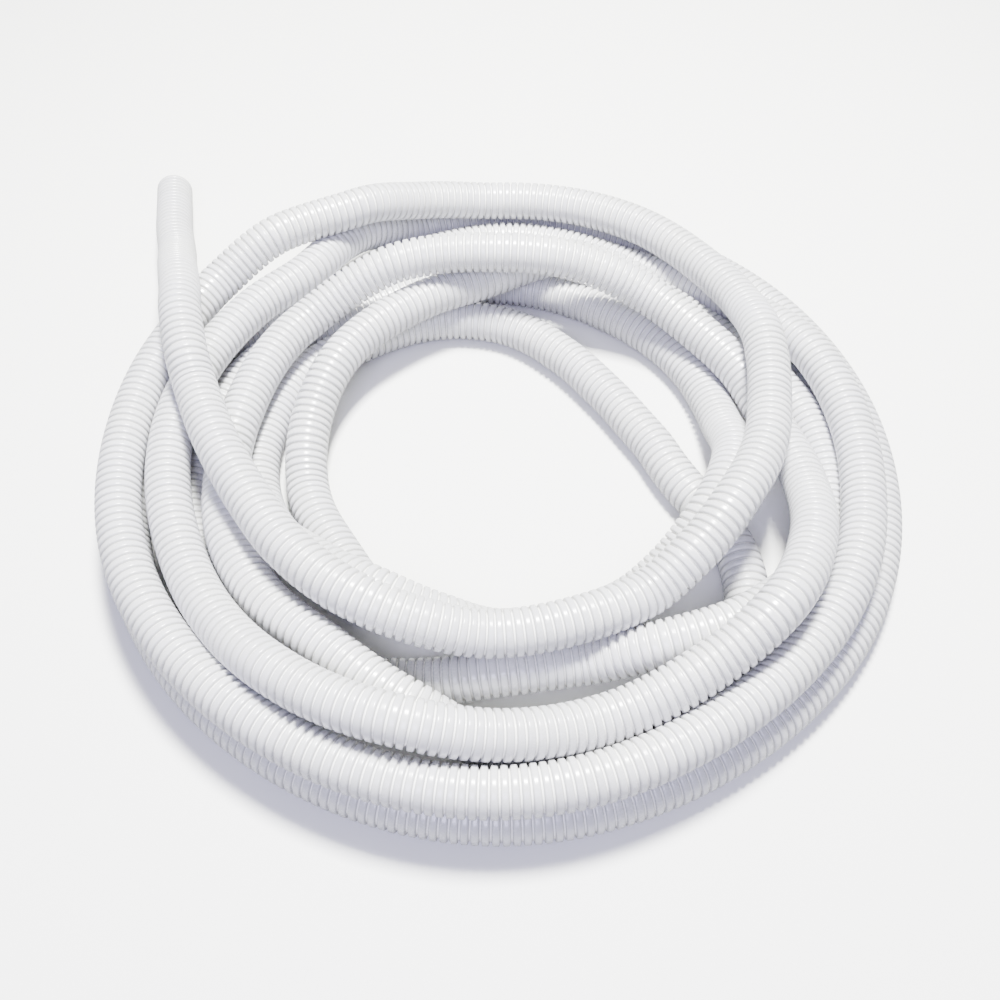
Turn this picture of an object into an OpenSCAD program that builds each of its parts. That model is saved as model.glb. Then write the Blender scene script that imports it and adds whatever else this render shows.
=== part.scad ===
// Pool vacuum hose: one length of ribbed hose, cut square at both ends and laid down in a loose coil.
// Millimetres, +Z up. The origin is on the floor, under the middle of the coil's box.
// The hose has no joints. Each node is one stretch of it: two straight cut ends and seven turns.

/* [Hose] */
// Inside diameter of the hose
bore_d = 38; // [25:1:60]
// Thickness of the wall at the bottom of a groove
wall = 0.8; // [0.5:0.1:2]
// Height of a rib above its grooves
rib_h = 3.8; // [1:0.1:8]
// Distance from one rib to the next
rib_pitch = 9; // [5:0.5:16]
// Width of a rib at its foot
rib_w = 7.2; // [3:0.1:12]
// Radius of a rib's two shoulders
rib_round = 1.4; // [0.2:0.1:3]

/* [Ends] */
// Ribs on each straight cut end
end_ribs = 12; // [6:1:20]

/* [Coil] */
// How far the turns are drawn apart, 1 being the coil as it was laid
spread = 1; // [1:0.05:1.5]

/* [Hidden] */
hose_d = bore_d + 2 * (wall + rib_h);
groove_r = bore_d / 2 + wall;
crest_r = hose_d / 2;
end_l = end_ribs * rib_pitch;
shade_white = [0.93, 0.93, 0.95];
shade_end = [0.86, 0.87, 0.88];

// The swept turns: sides of their outline, and degrees round the coil from one ring to the next.
sides = 12;
ring_step = 15;
// Steps in the arc of a rib's shoulder.
round_steps = 3;
// Where the middle of the coil lies, in hose diameters, so that the origin is under the whole box.
coil_at = [0.3734, 0.031];

// The route of the hose's middle line: degrees round the coil, running on from turn to turn, then the
// distance from the coil's middle and the height above the floor, both in hose diameters.
// 0 degrees is +X and 270 is the front.
ROUTE = [
    // The loose end comes in from behind on the left and climbs on to the coil.
    [141, 11.8, 0.95], [145, 10.75, 1.2], [150, 9.7, 1.85], [157, 8.6, 2.5],
    [164, 7.95, 2.7], [172, 7.4, 2.6],
    // First turn, on top of the others along the left and the front.
    [180, 6.95, 2.4], [195, 6.4, 2.4], [210, 6.15, 2.4], [225, 6.15, 2.4], [240, 6.15, 2.3],
    [255, 6.05, 2.0], [270, 5.95, 1.7], [285, 5.85, 1.7], [300, 5.85, 1.7], [315, 5.85, 2.1],
    [330, 5.9, 2.4], [345, 6.05, 2.35], [360, 6.2, 2.25], [375, 6.55, 2.25], [390, 7.0, 1.85],
    [405, 7.4, 1.6], [420, 7.8, 1.5], [450, 8.0, 1.4], [465, 7.85, 1.75], [480, 7.6, 2.3],
    [495, 7.95, 2.3], [510, 8.4, 1.75], [525, 8.55, 1.5],
    // Second turn, the widest of the upper layer.
    [540, 8.65, 1.5], [570, 8.95, 1.5], [600, 9.05, 1.5], [630, 9.15, 1.5], [660, 8.85, 1.5],
    [690, 8.65, 1.5], [705, 8.45, 1.35], [720, 8.3, 1.3], [735, 8.1, 1.3], [750, 7.75, 1.0],
    [765, 7.45, 0.6], [780, 7.25, 0.5], [810, 7.4, 0.5], [825, 7.15, 0.5], [840, 6.9, 0.5],
    [855, 7.0, 0.5], [870, 7.6, 0.5],
    // Third turn, the outermost one on the floor.
    [900, 8.7, 0.5], [930, 9.0, 0.5], [960, 9.15, 0.5], [990, 9.3, 0.5], [1020, 9.15, 0.5],
    [1050, 9.15, 0.5], [1080, 8.9, 0.5], [1110, 8.65, 0.5], [1140, 8.4, 0.5], [1170, 8.45, 0.5],
    [1185, 8.2, 0.5], [1200, 7.85, 1.2], [1215, 7.1, 1.5], [1230, 7.25, 1.5],
    // Fourth turn, with a long hump over the front and another at the back.
    [1260, 7.6, 1.5], [1290, 7.85, 1.5], [1305, 8.05, 1.75], [1320, 8.25, 2.2], [1335, 8.3, 2.3],
    [1350, 8.2, 1.9], [1365, 8.0, 1.6], [1380, 7.95, 2.0], [1395, 7.95, 2.5], [1410, 7.6, 2.1],
    [1425, 7.1, 1.4], [1440, 6.55, 1.05], [1455, 6.1, 1.3], [1470, 5.65, 1.5], [1485, 5.35, 1.75],
    [1500, 4.95, 2.2], [1515, 4.6, 2.5], [1530, 4.5, 2.55], [1560, 5.0, 2.4], [1590, 5.75, 1.6],
    // Fifth turn, which drops to the floor and cuts across the open middle.
    [1620, 6.1, 1.5], [1635, 6.45, 1.35], [1650, 6.8, 1.4], [1665, 7.0, 1.5], [1680, 7.1, 1.55],
    [1695, 7.5, 1.4], [1710, 7.9, 0.6], [1725, 8.1, 0.5], [1740, 8.0, 0.5], [1755, 7.4, 0.5],
    [1767, 6.4, 0.5], [1783, 4.5, 0.5], [1800, 3.65, 0.5], [1830, 3.1, 0.5], [1860, 3.3, 0.5],
    [1890, 4.0, 0.5], [1920, 4.6, 0.5], [1935, 4.85, 0.5], [1950, 5.3, 0.5],
    // Sixth turn, under the first one along the front.
    [1980, 5.75, 0.5], [1995, 5.85, 0.5], [2010, 5.8, 0.8], [2025, 5.65, 1.4], [2040, 5.5, 1.55],
    [2055, 5.4, 1.2], [2070, 5.3, 0.6], [2085, 5.25, 0.5], [2100, 5.25, 0.5], [2115, 5.3, 0.9],
    [2130, 5.4, 1.5], [2138, 5.45, 1.55], [2150, 5.5, 1.3], [2165, 5.4, 0.7], [2180, 5.4, 0.5],
    [2220, 5.3, 0.5], [2250, 5.5, 0.5], [2280, 5.75, 0.5], [2295, 5.9, 0.5], [2310, 6.5, 0.5],
    // Seventh turn, on the floor, down to the end that lies under the first turn.
    [2340, 7.2, 0.5], [2370, 7.5, 0.5], [2400, 7.25, 0.5], [2415, 6.65, 0.5], [2430, 6.3, 0.65],
    [2445, 6.3, 0.7], [2460, 6.85, 1.3], [2475, 7.55, 1.55], [2490, 7.8, 0.9], [2505, 7.9, 0.5],
    [2520, 7.7, 0.5], [2550, 6.8, 0.5], [2565, 6.4, 0.7], [2580, 6.2, 1.15], [2595, 5.7, 1.5],
    [2610, 4.85, 1.5], [2640, 4.35, 1.5], [2670, 4.4, 1.4], [2700, 4.6, 0.85],
    [2720, 4.75, 0.5], [2735, 4.8, 0.5]
];

// Degrees at which one turn ends and the next begins.
first_a = ROUTE[0][0];
last_a = ROUTE[len(ROUTE) - 1][0];
turn_from = [first_a, 540, 900, 1260, 1620, 1980, 2340];
turn_to = [540, 900, 1260, 1620, 1980, 2340, last_a];

// A smooth curve through the route's knots: radius and height as functions of the angle.
last_knot = len(ROUTE) - 1;

function knot(i) = [ROUTE[i][1] * spread, ROUTE[i][2]];

function span_width(i) = ROUTE[i + 1][0] - ROUTE[i][0];

function span_slope(i) = (knot(i + 1) - knot(i)) / span_width(i);

// The radius bends evenly through a knot. The height levels out at each crest and on the floor, so that
// the hose never dips between two knots.
function even_slope(i, before, after) =
    (span_width(i) * before + span_width(i - 1) * after) / (span_width(i - 1) + span_width(i));

function level_slope(before, after) =
    before * after <= 0 ? 0 : 2 * before * after / (before + after);

function knot_slope(i) =
    i == 0 ? span_slope(0) :
    i == last_knot ? span_slope(last_knot - 1) :
    let (before = span_slope(i - 1), after = span_slope(i))
    [even_slope(i, before[0], after[0]), level_slope(before[1], after[1])];

function span_at(angle) = max([for (i = [0 : last_knot - 1]) if (i == 0 || ROUTE[i][0] <= angle) i]);

function blend(i, t) =
    (2 * t^3 - 3 * t^2 + 1) * knot(i)
    + (t^3 - 2 * t^2 + t) * span_width(i) * knot_slope(i)
    + (3 * t^2 - 2 * t^3) * knot(i + 1)
    + (t^3 - t^2) * span_width(i) * knot_slope(i + 1);

function radius_height(angle) =
    let (i = span_at(angle))
    blend(i, (angle - ROUTE[i][0]) / span_width(i));

// A point of the middle line, in millimetres, and the direction in which the hose runs there.
function on_route(angle) =
    let (rz = radius_height(angle))
    hose_d * [coil_at[0] + rz[0] * cos(angle), coil_at[1] + rz[0] * sin(angle), rz[1]];

function unit(v) = v / norm(v);

function heading(angle) = unit(on_route(angle + 0.5) - on_route(angle - 0.5));

// One ring of the swept tube, square to the hose, with a corner at its lowest point.
function ring(angle) =
    let (
        ahead = heading(angle),
        across = unit(cross(ahead, [0, 0, 1])),
        up = cross(across, ahead)
    )
    [for (k = [0 : sides - 1])
        on_route(angle) + crest_r * (cos(k * 360 / sides) * across + sin(k * 360 / sides) * up)];

// Rings stand on the same degrees in every turn, so that turns which lie side by side keep their gap.
function ring_angles(from, to) = concat(
    [from],
    [for (a = [ceil((from + 1) / ring_step) * ring_step : ring_step : to - 1]) a],
    [to]
);

module swept_tube(from, to) {
    angles = ring_angles(from, to);
    count = len(angles);
    points = [for (a = angles) each ring(a)];
    skin = [
        for (i = [0 : count - 2], k = [0 : sides - 1])
            let (a = i * sides + k, b = i * sides + (k + 1) % sides)
            each [[a, a + sides, b], [b, a + sides, b + sides]]
    ];
    first_cap = [for (k = [0 : sides - 1]) k];
    last_cap = [for (k = [0 : sides - 1]) count * sides - 1 - k];
    polyhedron(points, concat([first_cap], skin, [last_cap]), convexity = 6);
}

// Outline of one rib and the half grooves beside it, as [radius, distance along the hose].
function shoulder(middle, side) = [
    for (s = [0 : round_steps])
        let (turn = 90 * (side < 0 ? s : round_steps - s) / round_steps)
        [
            crest_r - rib_round * (1 - sin(turn)),
            middle + side * (rib_w / 2 - rib_round + rib_round * cos(turn))
        ]
];

function rib_outline(i) =
    let (middle = (i + 0.5) * rib_pitch)
    concat(
        [[groove_r, middle - rib_w / 2]],
        shoulder(middle, -1),
        shoulder(middle, 1),
        [[groove_r, middle + rib_w / 2]]
    );

// A straight cut end with true ribs and the open bore, standing on its cut face.
module cut_end() {
    rotate_extrude($fn = 96)
        polygon(concat(
            [[bore_d / 2, 0], [groove_r, 0]],
            [for (i = [0 : end_ribs - 1]) each rib_outline(i)],
            [[groove_r, end_l], [bore_d / 2, end_l]]
        ));
}

// Sets a cut end on the hose: its inner face at the given point, its cut face away along the direction.
module along(point, direction) {
    translate(point)
        rotate([0, acos(direction[2]), atan2(direction[1], direction[0])])
            children();
}

module free_end() {
    color(shade_end) along(on_route(first_a), -heading(first_a)) cut_end();
}

module turn(i) {
    color(shade_white) swept_tube(turn_from[i], turn_to[i]);
}

module turn_1() {
    turn(0);
}

module turn_2() {
    turn(1);
}

module turn_3() {
    turn(2);
}

module turn_4() {
    turn(3);
}

module turn_5() {
    turn(4);
}

module turn_6() {
    turn(5);
}

module turn_7() {
    turn(6);
}

module hidden_end() {
    color(shade_end) along(on_route(last_a), heading(last_a)) cut_end();
}

free_end();
turn_1();
turn_2();
turn_3();
turn_4();
turn_5();
turn_6();
turn_7();
hidden_end();
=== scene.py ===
"""Ribbed pool vacuum hose, laid down in a loose coil on a pale floor. Metres, in the model's own frame."""
import math

import bmesh
import bpy
import numpy as np
from mathutils import Matrix, Vector


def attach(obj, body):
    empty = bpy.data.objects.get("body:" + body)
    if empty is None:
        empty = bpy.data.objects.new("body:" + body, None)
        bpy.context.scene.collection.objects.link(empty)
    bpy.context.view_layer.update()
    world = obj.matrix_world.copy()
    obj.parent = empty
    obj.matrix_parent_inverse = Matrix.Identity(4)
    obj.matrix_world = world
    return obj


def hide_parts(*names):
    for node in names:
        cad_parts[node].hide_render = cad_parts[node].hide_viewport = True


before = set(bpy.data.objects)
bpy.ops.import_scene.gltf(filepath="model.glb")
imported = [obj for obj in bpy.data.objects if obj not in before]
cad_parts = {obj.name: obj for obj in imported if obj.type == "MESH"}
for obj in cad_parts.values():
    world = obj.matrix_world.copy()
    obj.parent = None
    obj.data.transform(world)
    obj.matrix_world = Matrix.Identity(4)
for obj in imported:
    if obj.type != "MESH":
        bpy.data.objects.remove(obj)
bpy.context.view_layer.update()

# ---------------------------------------------------------------- sizes, in metres
BORE_D = 0.038
WALL = 0.0008
RIB_H = 0.0038
RIB_PITCH = 0.009
HOSE_D = BORE_D + 2 * (WALL + RIB_H)
GROOVE_R = BORE_D / 2 + WALL
END_RIBS = 12
END_L = END_RIBS * RIB_PITCH
PATH_STEP = 0.5  # degrees round the coil between two points of the fine path
TUBE_SIDES = 24
RINGS_PER_RIB = 12

# The outline of one rib, as shares of the pitch from the middle of the groove: half the flat groove, and
# where the shoulder ends and the crest begins. The swing draws the rings together at the flanks.
GROOVE_SHARE = 0.06
SHOULDER_SHARE = 0.19
RING_SWING = 0.1

# Colours of the plastic. A groove is thin, and its bright colour is painted light, standing in for light
# shining through the wall, with patches of dust; a flank is seen edge-on, and its dark colour is painted
# shade; and the crest is the thickest.
GROOVE_PAINTED_GLOW = (0.97, 0.97, 0.98, 1)
GROOVE_DUST_AND_GLOW = (0.88, 0.87, 0.82, 1)
FLANK_PAINTED_SHADE = (0.46, 0.46, 0.46, 1)
CREST_DARK = (0.56, 0.56, 0.61, 1)
CREST_LIGHT = (0.63, 0.63, 0.675, 1)
CREST_WARM = (0.60, 0.605, 0.58, 1)

# How far up the rib each colour gives way to the next, where 0 is the groove and 1 is the crest: the
# painted light of the groove gives way to the painted shade of the flank, and that shade to the crest.
FLANK_SHADE_FADE = (0.02, 0.35)
CREST_FADE = (0.45, 0.95)

# Where the middle of the coil lies, in hose diameters.
COIL_AT = (0.3734, 0.031)

# The hose's middle line, as in the CAD model: degrees round the coil, running on from turn to turn, then
# the distance from the coil's middle and the height above the floor, both in hose diameters.
ROUTE = [
    # The loose end comes in from behind on the left and climbs on to the coil.
    (141, 11.8, 0.95), (145, 10.75, 1.2), (150, 9.7, 1.85), (157, 8.6, 2.5),
    (164, 7.95, 2.7), (172, 7.4, 2.6),
    # First turn, on top of the others along the left and the front.
    (180, 6.95, 2.4), (195, 6.4, 2.4), (210, 6.15, 2.4), (225, 6.15, 2.4), (240, 6.15, 2.3),
    (255, 6.05, 2.0), (270, 5.95, 1.7), (285, 5.85, 1.7), (300, 5.85, 1.7), (315, 5.85, 2.1),
    (330, 5.9, 2.4), (345, 6.05, 2.35), (360, 6.2, 2.25), (375, 6.55, 2.25), (390, 7.0, 1.85),
    (405, 7.4, 1.6), (420, 7.8, 1.5), (450, 8.0, 1.4), (465, 7.85, 1.75), (480, 7.6, 2.3),
    (495, 7.95, 2.3), (510, 8.4, 1.75), (525, 8.55, 1.5),
    # Second turn, the widest of the upper layer.
    (540, 8.65, 1.5), (570, 8.95, 1.5), (600, 9.05, 1.5), (630, 9.15, 1.5), (660, 8.85, 1.5),
    (690, 8.65, 1.5), (705, 8.45, 1.35), (720, 8.3, 1.3), (735, 8.1, 1.3), (750, 7.75, 1.0),
    (765, 7.45, 0.6), (780, 7.25, 0.5), (810, 7.4, 0.5), (825, 7.15, 0.5), (840, 6.9, 0.5),
    (855, 7.0, 0.5), (870, 7.6, 0.5),
    # Third turn, the outermost one on the floor.
    (900, 8.7, 0.5), (930, 9.0, 0.5), (960, 9.15, 0.5), (990, 9.3, 0.5), (1020, 9.15, 0.5),
    (1050, 9.15, 0.5), (1080, 8.9, 0.5), (1110, 8.65, 0.5), (1140, 8.4, 0.5), (1170, 8.45, 0.5),
    (1185, 8.2, 0.5), (1200, 7.85, 1.2), (1215, 7.1, 1.5), (1230, 7.25, 1.5),
    # Fourth turn, with a long hump over the front and another at the back.
    (1260, 7.6, 1.5), (1290, 7.85, 1.5), (1305, 8.05, 1.75), (1320, 8.25, 2.2), (1335, 8.3, 2.3),
    (1350, 8.2, 1.9), (1365, 8.0, 1.6), (1380, 7.95, 2.0), (1395, 7.95, 2.5), (1410, 7.6, 2.1),
    (1425, 7.1, 1.4), (1440, 6.55, 1.05), (1455, 6.1, 1.3), (1470, 5.65, 1.5), (1485, 5.35, 1.75),
    (1500, 4.95, 2.2), (1515, 4.6, 2.5), (1530, 4.5, 2.55), (1560, 5.0, 2.4), (1590, 5.75, 1.6),
    # Fifth turn, which drops to the floor and cuts across the open middle.
    (1620, 6.1, 1.5), (1635, 6.45, 1.35), (1650, 6.8, 1.4), (1665, 7.0, 1.5), (1680, 7.1, 1.55),
    (1695, 7.5, 1.4), (1710, 7.9, 0.6), (1725, 8.1, 0.5), (1740, 8.0, 0.5), (1755, 7.4, 0.5),
    (1767, 6.4, 0.5), (1783, 4.5, 0.5), (1800, 3.65, 0.5), (1830, 3.1, 0.5), (1860, 3.3, 0.5),
    (1890, 4.0, 0.5), (1920, 4.6, 0.5), (1935, 4.85, 0.5), (1950, 5.3, 0.5),
    # Sixth turn, under the first one along the front.
    (1980, 5.75, 0.5), (1995, 5.85, 0.5), (2010, 5.8, 0.8), (2025, 5.65, 1.4), (2040, 5.5, 1.55),
    (2055, 5.4, 1.2), (2070, 5.3, 0.6), (2085, 5.25, 0.5), (2100, 5.25, 0.5), (2115, 5.3, 0.9),
    (2130, 5.4, 1.5), (2138, 5.45, 1.55), (2150, 5.5, 1.3), (2165, 5.4, 0.7), (2180, 5.4, 0.5),
    (2220, 5.3, 0.5), (2250, 5.5, 0.5), (2280, 5.75, 0.5), (2295, 5.9, 0.5), (2310, 6.5, 0.5),
    # Seventh turn, on the floor, down to the end that lies under the first turn.
    (2340, 7.2, 0.5), (2370, 7.5, 0.5), (2400, 7.25, 0.5), (2415, 6.65, 0.5), (2430, 6.3, 0.65),
    (2445, 6.3, 0.7), (2460, 6.85, 1.3), (2475, 7.55, 1.55), (2490, 7.8, 0.9), (2505, 7.9, 0.5),
    (2520, 7.7, 0.5), (2550, 6.8, 0.5), (2565, 6.4, 0.7), (2580, 6.2, 1.15), (2595, 5.7, 1.5),
    (2610, 4.85, 1.5), (2640, 4.35, 1.5), (2670, 4.4, 1.4), (2700, 4.6, 0.85),
    (2720, 4.75, 0.5), (2735, 4.8, 0.5),
]
STRETCHES = [
    ("turn_1", ROUTE[0][0], 540),
    ("turn_2", 540, 900),
    ("turn_3", 900, 1260),
    ("turn_4", 1260, 1620),
    ("turn_5", 1620, 1980),
    ("turn_6", 1980, 2340),
    ("turn_7", 2340, ROUTE[-1][0]),
]

# The cut end that each of the outer stretches takes with it.
CUT_ENDS = {"turn_1": ["free_end"], "turn_7": ["hidden_end"]}


# ---------------------------------------------------------------- the route
def spans():
    """Width and slope of each span between two knots of the route."""
    angle = np.array([knot[0] for knot in ROUTE], float)
    value = np.array([knot[1:] for knot in ROUTE], float)
    width = np.diff(angle)
    return angle, value, width, np.diff(value, axis=0) / width[:, None]


def knot_slopes(width, slope):
    """The radius bends evenly through a knot, and the height levels out at each crest and on the floor."""
    before, after = slope[:-1], slope[1:]
    even = (width[1:] * before[:, 0] + width[:-1] * after[:, 0]) / (width[1:] + width[:-1])
    product = before[:, 1] * after[:, 1]
    total = before[:, 1] + after[:, 1]
    level = np.where(product > 0, 2 * product / np.where(product > 0, total, 1), 0)
    return np.vstack([slope[:1], np.column_stack([even, level]), slope[-1:]])


ANGLE, VALUE, WIDTH, SLOPE = spans()
KNOT_SLOPE = knot_slopes(WIDTH, SLOPE)


def on_route(degrees):
    """The point of the middle line at that many degrees round the coil."""
    i = min(max(int(np.searchsorted(ANGLE, degrees, side="right")) - 1, 0), len(WIDTH) - 1)
    t = (degrees - ANGLE[i]) / WIDTH[i]
    radius, height = (
        (2 * t**3 - 3 * t**2 + 1) * VALUE[i]
        + (t**3 - 2 * t**2 + t) * WIDTH[i] * KNOT_SLOPE[i]
        + (3 * t**2 - 2 * t**3) * VALUE[i + 1]
        + (t**3 - t**2) * WIDTH[i] * KNOT_SLOPE[i + 1]
    )
    turn = math.radians(degrees)
    return HOSE_D * Vector(
        (COIL_AT[0] + radius * math.cos(turn), COIL_AT[1] + radius * math.sin(turn), height)
    )


def heading(degrees):
    """The direction in which the hose runs there."""
    return (on_route(degrees + 0.5) - on_route(degrees - 0.5)).normalized()


def straight_end(point, direction):
    """Points along a straight cut end, from the coil's side to the mouth."""
    steps = END_RIBS * 2
    return [point + direction * END_L * i / steps for i in range(1, steps + 1)]


def stretch_path(start, end):
    """The fine path of one stretch, with its straight cut end where it has one."""
    count = round((end - start) / PATH_STEP)
    points = [on_route(start + (end - start) * i / count) for i in range(count + 1)]
    if start == ROUTE[0][0]:
        points = straight_end(points[0], -heading(start))[::-1] + points
    if end == ROUTE[-1][0]:
        points += straight_end(points[-1], heading(end))
    return points


# ---------------------------------------------------------------- camera
def aim(obj, place, target):
    """Puts a camera or light at place and points it at target."""
    look = (target - place).to_track_quat("-Z", "Y")
    obj.matrix_world = Matrix.Translation(place) @ look.to_matrix().to_4x4()


def make_camera():
    """The viewpoint: over the front of the coil, 54 degrees above the floor."""
    elevation = math.radians(54)
    distance = 24.95 * HOSE_D
    in_front = 1.4 * HOSE_D
    middle = Vector((COIL_AT[0] * HOSE_D, COIL_AT[1] * HOSE_D - in_front, 0))
    back = Vector((0, -math.cos(elevation), math.sin(elevation))) * distance
    data = bpy.data.cameras.new("camera")
    data.sensor_width = 36
    data.lens = 37.5
    camera = bpy.data.objects.new("camera", data)
    bpy.context.scene.collection.objects.link(camera)
    aim(camera, middle + back, middle)
    bpy.context.scene.camera = camera


# ---------------------------------------------------------------- small node helpers
def node(tree, kind, inputs=(), **settings):
    """A node with its settings, and its inputs by name: a socket is linked, and a value is set."""
    made = tree.nodes.new(kind)
    for name, value in settings.items():
        setattr(made, name, value)
    for name, value in dict(inputs).items():
        target = made.inputs[name]
        if isinstance(value, bpy.types.NodeSocket):
            tree.links.new(value, target)
        else:
            target.default_value = value
    return made


def calc(tree, operation, a, b=0.0, c=0.0):
    """The result of one Math node."""
    made = tree.nodes.new("ShaderNodeMath")
    made.operation = operation
    for socket, value in zip(made.inputs, (a, b, c)):
        if isinstance(value, bpy.types.NodeSocket):
            tree.links.new(value, socket)
        else:
            socket.default_value = value
    return made.outputs[0]


# ---------------------------------------------------------------- the hose itself
def ribbed_hose_tree():
    """Geometry Nodes: a path becomes a hose wall with ribs outside and a smooth bore inside."""
    tree = bpy.data.node_groups.new("ribbed_hose", "GeometryNodeTree")
    face = tree.interface
    face.new_socket("Hose", in_out="OUTPUT", socket_type="NodeSocketGeometry")
    face.new_socket("Path", in_out="INPUT", socket_type="NodeSocketGeometry")
    for name, value in [
        ("Pitch", RIB_PITCH),
        ("Bore radius", BORE_D / 2),
        ("Groove radius", GROOVE_R),
        ("Rib height", RIB_H),
        ("Groove share", GROOVE_SHARE),
        ("Shoulder share", SHOULDER_SHARE),
    ]:
        face.new_socket(name, in_out="INPUT", socket_type="NodeSocketFloat").default_value = value
    for name, value in [("Rings", RINGS_PER_RIB), ("Sides", TUBE_SIDES)]:
        face.new_socket(name, in_out="INPUT", socket_type="NodeSocketInt").default_value = value
    face.new_socket("Material", in_out="INPUT", socket_type="NodeSocketMaterial")
    given = tree.nodes.new("NodeGroupInput").outputs
    path = given["Path"]
    long = node(tree, "GeometryNodeCurveLength", {"Curve": path}).outputs["Length"]
    ribs = calc(tree, "ROUND", calc(tree, "DIVIDE", long, given["Pitch"]))
    pitch = calc(tree, "DIVIDE", long, ribs)

    # Rings close together at the flanks of a rib and far apart on its crest.
    count = calc(tree, "ADD", calc(tree, "MULTIPLY", ribs, given["Rings"]), 1.0)
    rings = node(tree, "GeometryNodeResampleCurve", {"Curve": path, "Count": count}, mode="COUNT")
    index = tree.nodes.new("GeometryNodeInputIndex").outputs[0]
    share = calc(tree, "DIVIDE", index, given["Rings"])
    just_over = calc(tree, "ADD", share, 0.001)  # keeps rounding from dropping a ring to the rib before
    rib = calc(tree, "FLOOR", just_over)
    part = calc(tree, "SUBTRACT", share, rib)
    swing = calc(tree, "SINE", calc(tree, "MULTIPLY", part, 2 * math.pi))
    phase = calc(tree, "SUBTRACT", part, calc(tree, "MULTIPLY", swing, RING_SWING))
    at = calc(tree, "MULTIPLY", calc(tree, "ADD", rib, phase), pitch)
    sample = node(tree, "GeometryNodeSampleCurve", {"Curves": path, "Length": at}, mode="LENGTH")
    placed = node(
        tree,
        "GeometryNodeSetPosition",
        {"Geometry": rings.outputs["Curve"], "Position": sample.outputs["Position"]},
    ).outputs[0]

    # The rib's outline: flat groove, steep flank, rounded shoulder, flat crest.
    from_groove = calc(tree, "MINIMUM", phase, calc(tree, "SUBTRACT", 1.0, phase))
    rise = node(
        tree,
        "ShaderNodeMapRange",
        {
            "Value": from_groove,
            "From Min": given["Groove share"],
            "From Max": given["Shoulder share"],
        },
        interpolation_type="SMOOTHSTEP",
    ).outputs["Result"]
    radius = calc(tree, "MULTIPLY_ADD", rise, given["Rib height"], given["Groove radius"])

    for name, value in [("rib", rise), ("rib_number", rib)]:
        placed = node(
            tree,
            "GeometryNodeStoreNamedAttribute",
            {"Geometry": placed, "Name": name, "Value": value},
            data_type="FLOAT",
            domain="POINT",
        ).outputs["Geometry"]
    upright = node(tree, "GeometryNodeSetCurveNormal", {"Curve": placed}, mode="Z_UP").outputs[0]
    outline = node(
        tree, "GeometryNodeCurvePrimitiveCircle", {"Resolution": given["Sides"], "Radius": 1.0}
    ).outputs["Curve"]
    outside = node(
        tree,
        "GeometryNodeCurveToMesh",
        {"Curve": upright, "Profile Curve": outline, "Scale": radius},
    ).outputs["Mesh"]

    # The smooth bore, with one ring to a rib.
    bore_rings = node(
        tree,
        "GeometryNodeResampleCurve",
        {"Curve": path, "Count": calc(tree, "ADD", ribs, 1.0)},
        mode="COUNT",
    ).outputs["Curve"]
    bore_upright = node(tree, "GeometryNodeSetCurveNormal", {"Curve": bore_rings}, mode="Z_UP")
    bore = node(
        tree,
        "GeometryNodeCurveToMesh",
        {
            "Curve": bore_upright.outputs[0],
            "Profile Curve": outline,
            "Scale": given["Bore radius"],
        },
    ).outputs["Mesh"]
    inside = node(tree, "GeometryNodeFlipFaces", {"Mesh": bore}).outputs["Mesh"]

    both = tree.nodes.new("GeometryNodeJoinGeometry")
    tree.links.new(inside, both.inputs[0])
    tree.links.new(outside, both.inputs[0])
    smooth = node(
        tree, "GeometryNodeSetShadeSmooth", {"Geometry": both.outputs[0], "Shade Smooth": True}
    ).outputs["Geometry"]
    real = node(tree, "GeometryNodeRealizeInstances", {"Geometry": smooth}).outputs[0]
    done = node(
        tree, "GeometryNodeSetMaterial", {"Geometry": real, "Material": given["Material"]}
    ).outputs["Geometry"]
    tree.links.new(done, tree.nodes.new("NodeGroupOutput").inputs["Hose"])
    return tree


def path_curve(name, points):
    """A curve object of one open poly spline through these points."""
    data = bpy.data.curves.new(name, "CURVE")
    data.dimensions = "3D"
    spline = data.splines.new("POLY")
    spline.points.add(len(points) - 1)
    for target, point in zip(spline.points, points):
        target.co = (*point, 1)
    curve = bpy.data.objects.new(name, data)
    bpy.context.scene.collection.objects.link(curve)
    return curve


def close_ends(mesh):
    """Joins the outer skin to the bore with a flat cut face at both ends of a stretch."""
    work = bmesh.new()
    work.from_mesh(mesh)
    open_edges = [edge for edge in work.edges if edge.is_boundary]
    loops = []
    while open_edges:
        loop = {open_edges[0]}
        grown = True
        while grown:
            ends = {vert for edge in loop for vert in edge.verts}
            more = {edge for edge in open_edges if edge not in loop and ends & set(edge.verts)}
            grown = bool(more)
            loop |= more
        open_edges = [edge for edge in open_edges if edge not in loop]
        middle = sum((v.co for e in loop for v in e.verts), Vector()) / (2 * len(loop))
        loops.append((middle, list(loop)))
    first, last = loops[0][0], max((m for m, _ in loops), key=lambda m: (m - loops[0][0]).length)
    for end in (first, last):
        pair = sorted(loops, key=lambda item: (item[0] - end).length)[:2]
        bmesh.ops.bridge_loops(work, edges=pair[0][1] + pair[1][1])
    work.to_mesh(mesh)
    work.free()


def make_stretch(name, start, end, tree, material):
    """One stretch of hose as a plain mesh, which runs on from its neighbour."""
    points = stretch_path(start, end)
    curve = path_curve(name + "_path", points)
    ribs = curve.modifiers.new("ribs", "NODES")
    ribs.node_group = tree
    for item in tree.interface.items_tree:
        if item.item_type == "SOCKET" and item.in_out == "INPUT" and item.name == "Material":
            ribs[item.identifier] = material
    bpy.context.view_layer.update()
    graph = bpy.context.evaluated_depsgraph_get()
    mesh = bpy.data.meshes.new_from_object(curve.evaluated_get(graph), depsgraph=graph)
    bpy.data.objects.remove(curve)
    close_ends(mesh)
    hose = bpy.data.objects.new("hose_" + name, mesh)
    bpy.context.scene.collection.objects.link(hose)
    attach(hose, "root")
    return hose


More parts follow.
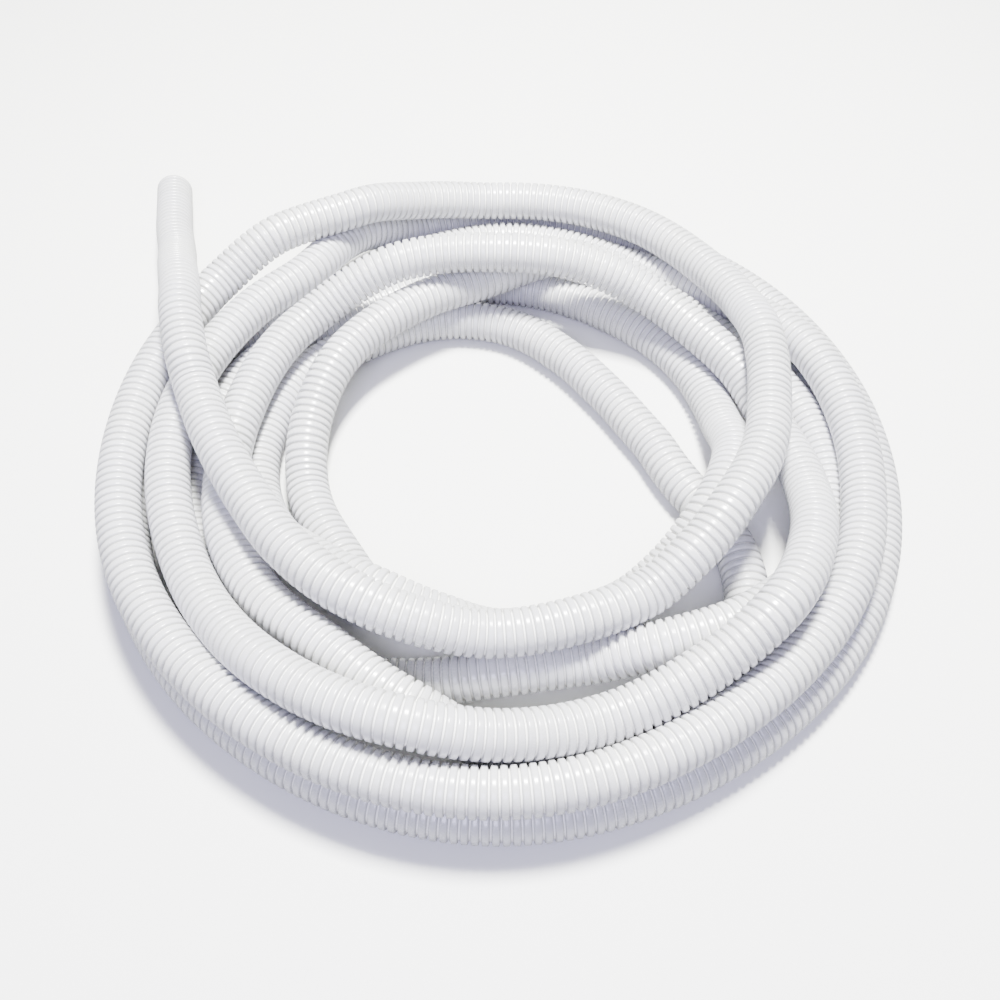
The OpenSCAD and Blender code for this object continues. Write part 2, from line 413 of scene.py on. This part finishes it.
# ---------------------------------------------------------------- materials
def mottle(tree, scale, detail):
    """Even noise through the plastic, fixed to the hose."""
    place = tree.nodes.new("ShaderNodeTexCoord").outputs["Object"]
    made = node(tree, "ShaderNodeTexNoise", {"Vector": place, "Scale": scale, "Detail": detail})
    return made.outputs["Fac"]


def spread_over(tree, value, low, high):
    """A value between nought and one, spread over the range from low to high."""
    return calc(tree, "MULTIPLY_ADD", value, high - low, low)


def mixed(tree, share, first, second):
    """A colour that goes from the first to the second."""
    made = node(tree, "ShaderNodeMix", data_type="RGBA")
    tree.links.new(share, made.inputs["Factor"])
    colour_a, colour_b = made.inputs[6], made.inputs[7]
    for socket, value in zip((colour_a, colour_b), (first, second)):
        if isinstance(value, bpy.types.NodeSocket):
            tree.links.new(value, socket)
        else:
            socket.default_value = value
    return made.outputs[2]


def up_to(tree, value, low, high):
    """Nought below the low value, one above the high one, and smooth between them."""
    made = node(
        tree,
        "ShaderNodeMapRange",
        {"Value": value, "From Min": low, "From Max": high},
        interpolation_type="SMOOTHSTEP",
    )
    return made.outputs["Result"]


def plastic():
    """Satin milky plastic: painted light in the thin grooves, painted shade on the rib flanks, and a
    little different rib by rib.
    """
    material = bpy.data.materials.new("milky_plastic")
    material.use_nodes = True
    tree = material.node_tree
    tree.nodes.clear()
    rib = node(tree, "ShaderNodeAttribute", attribute_name="rib").outputs["Fac"]
    rib_number = node(tree, "ShaderNodeAttribute", attribute_name="rib_number").outputs["Fac"]
    noise = node(tree, "ShaderNodeTexWhiteNoise", {"W": rib_number}, noise_dimensions="1D")
    chance = noise.outputs["Value"]
    patchy = mottle(tree, 14.0, 3.0)
    fine = mottle(tree, 420.0, 2.0)

    crest = mixed(tree, chance, CREST_DARK, CREST_LIGHT)
    crest = mixed(tree, spread_over(tree, patchy, -0.25, 0.75), crest, CREST_WARM)
    # Painted light: the grooves get a bright colour in place of light shining through the thin wall,
    # mottled with real dust.
    groove = mixed(tree, patchy, GROOVE_PAINTED_GLOW, GROOVE_DUST_AND_GLOW)
    # Painted shade: the flanks of the ribs are darker than both the groove and the crest.
    painted_flank_shade = up_to(tree, rib, *FLANK_SHADE_FADE)
    on_crest = up_to(tree, rib, *CREST_FADE)
    painted_groove_and_flank = mixed(tree, painted_flank_shade, groove, FLANK_PAINTED_SHADE)
    surface = node(
        tree,
        "ShaderNodeBsdfPrincipled",
        {
            "Base Color": mixed(tree, on_crest, painted_groove_and_flank, crest),
            "Roughness": spread_over(tree, calc(tree, "ADD", patchy, fine), 0.14, 0.26),
            "Normal": node(
                tree,
                "ShaderNodeBump",
                {"Height": fine, "Strength": 0.25, "Distance": 0.0002},
            ).outputs["Normal"],
            "IOR": 1.5,
            "Specular IOR Level": 0.8,
            "Subsurface Weight": 0.15,
            "Subsurface Scale": 0.004,
        },
    )
    surface.inputs["Subsurface Radius"].default_value = (1.0, 0.95, 0.9)
    out = tree.nodes.new("ShaderNodeOutputMaterial")
    tree.links.new(surface.outputs["BSDF"], out.inputs["Surface"])
    return material


def floor_material():
    """Plain pale floor, which throws less light back up on to the hose than it shows."""
    material = bpy.data.materials.new("pale_floor")
    material.use_nodes = True
    tree = material.node_tree
    surface = tree.nodes["Principled BSDF"]
    seen = tree.nodes.new("ShaderNodeLightPath").outputs["Is Camera Ray"]
    colour = mixed(tree, seen, (0.35, 0.35, 0.34, 1), (0.9, 0.9, 0.9, 1))
    tree.links.new(colour, surface.inputs["Base Color"])
    surface.inputs["Roughness"].default_value = 0.9
    return material


# ---------------------------------------------------------------- setting and light
def make_floor():
    """A pale floor that runs out of view."""
    half = 12
    mesh = bpy.data.meshes.new("floor")
    mesh.from_pydata(
        [(-half, -half, 0), (half, -half, 0), (half, half, 0), (-half, half, 0)], [], [(0, 1, 2, 3)]
    )
    mesh.materials.append(floor_material())
    floor = bpy.data.objects.new("floor", mesh)
    bpy.context.scene.collection.objects.link(floor)


def area_light(name, place, size, power, colour):
    """A soft square light over the coil."""
    data = bpy.data.lights.new(name, "AREA")
    data.shape = "SQUARE"
    data.size = size
    data.energy = power
    data.color = colour
    light = bpy.data.objects.new(name, data)
    bpy.context.scene.collection.objects.link(light)
    aim(light, Vector(place), Vector((0, 0, 0)))


def make_light():
    """A lamp overhead and a little behind, a cool fill in front, and a dim even room."""
    area_light("overhead", (0.15, 0.55, 2.6), 0.5, 520, (1.0, 1.0, 0.95))
    area_light("front_fill", (-0.3, -2.0, 2.2), 1.2, 90, (0.68, 0.66, 1.0))
    world = bpy.data.worlds.new("room")
    bpy.context.scene.world = world
    world.use_nodes = True
    back = world.node_tree.nodes["Background"]
    back.inputs["Color"].default_value = (0.96, 1.0, 0.88, 1)
    back.inputs["Strength"].default_value = 0.3


# ---------------------------------------------------------------- the whole scene
make_camera()
hose_tree = ribbed_hose_tree()
milky = plastic()
for name, start, end in STRETCHES:
    made = make_stretch(name, start, end, hose_tree, milky)
    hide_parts(name, *CUT_ENDS.get(name, []))
make_floor()
make_light()
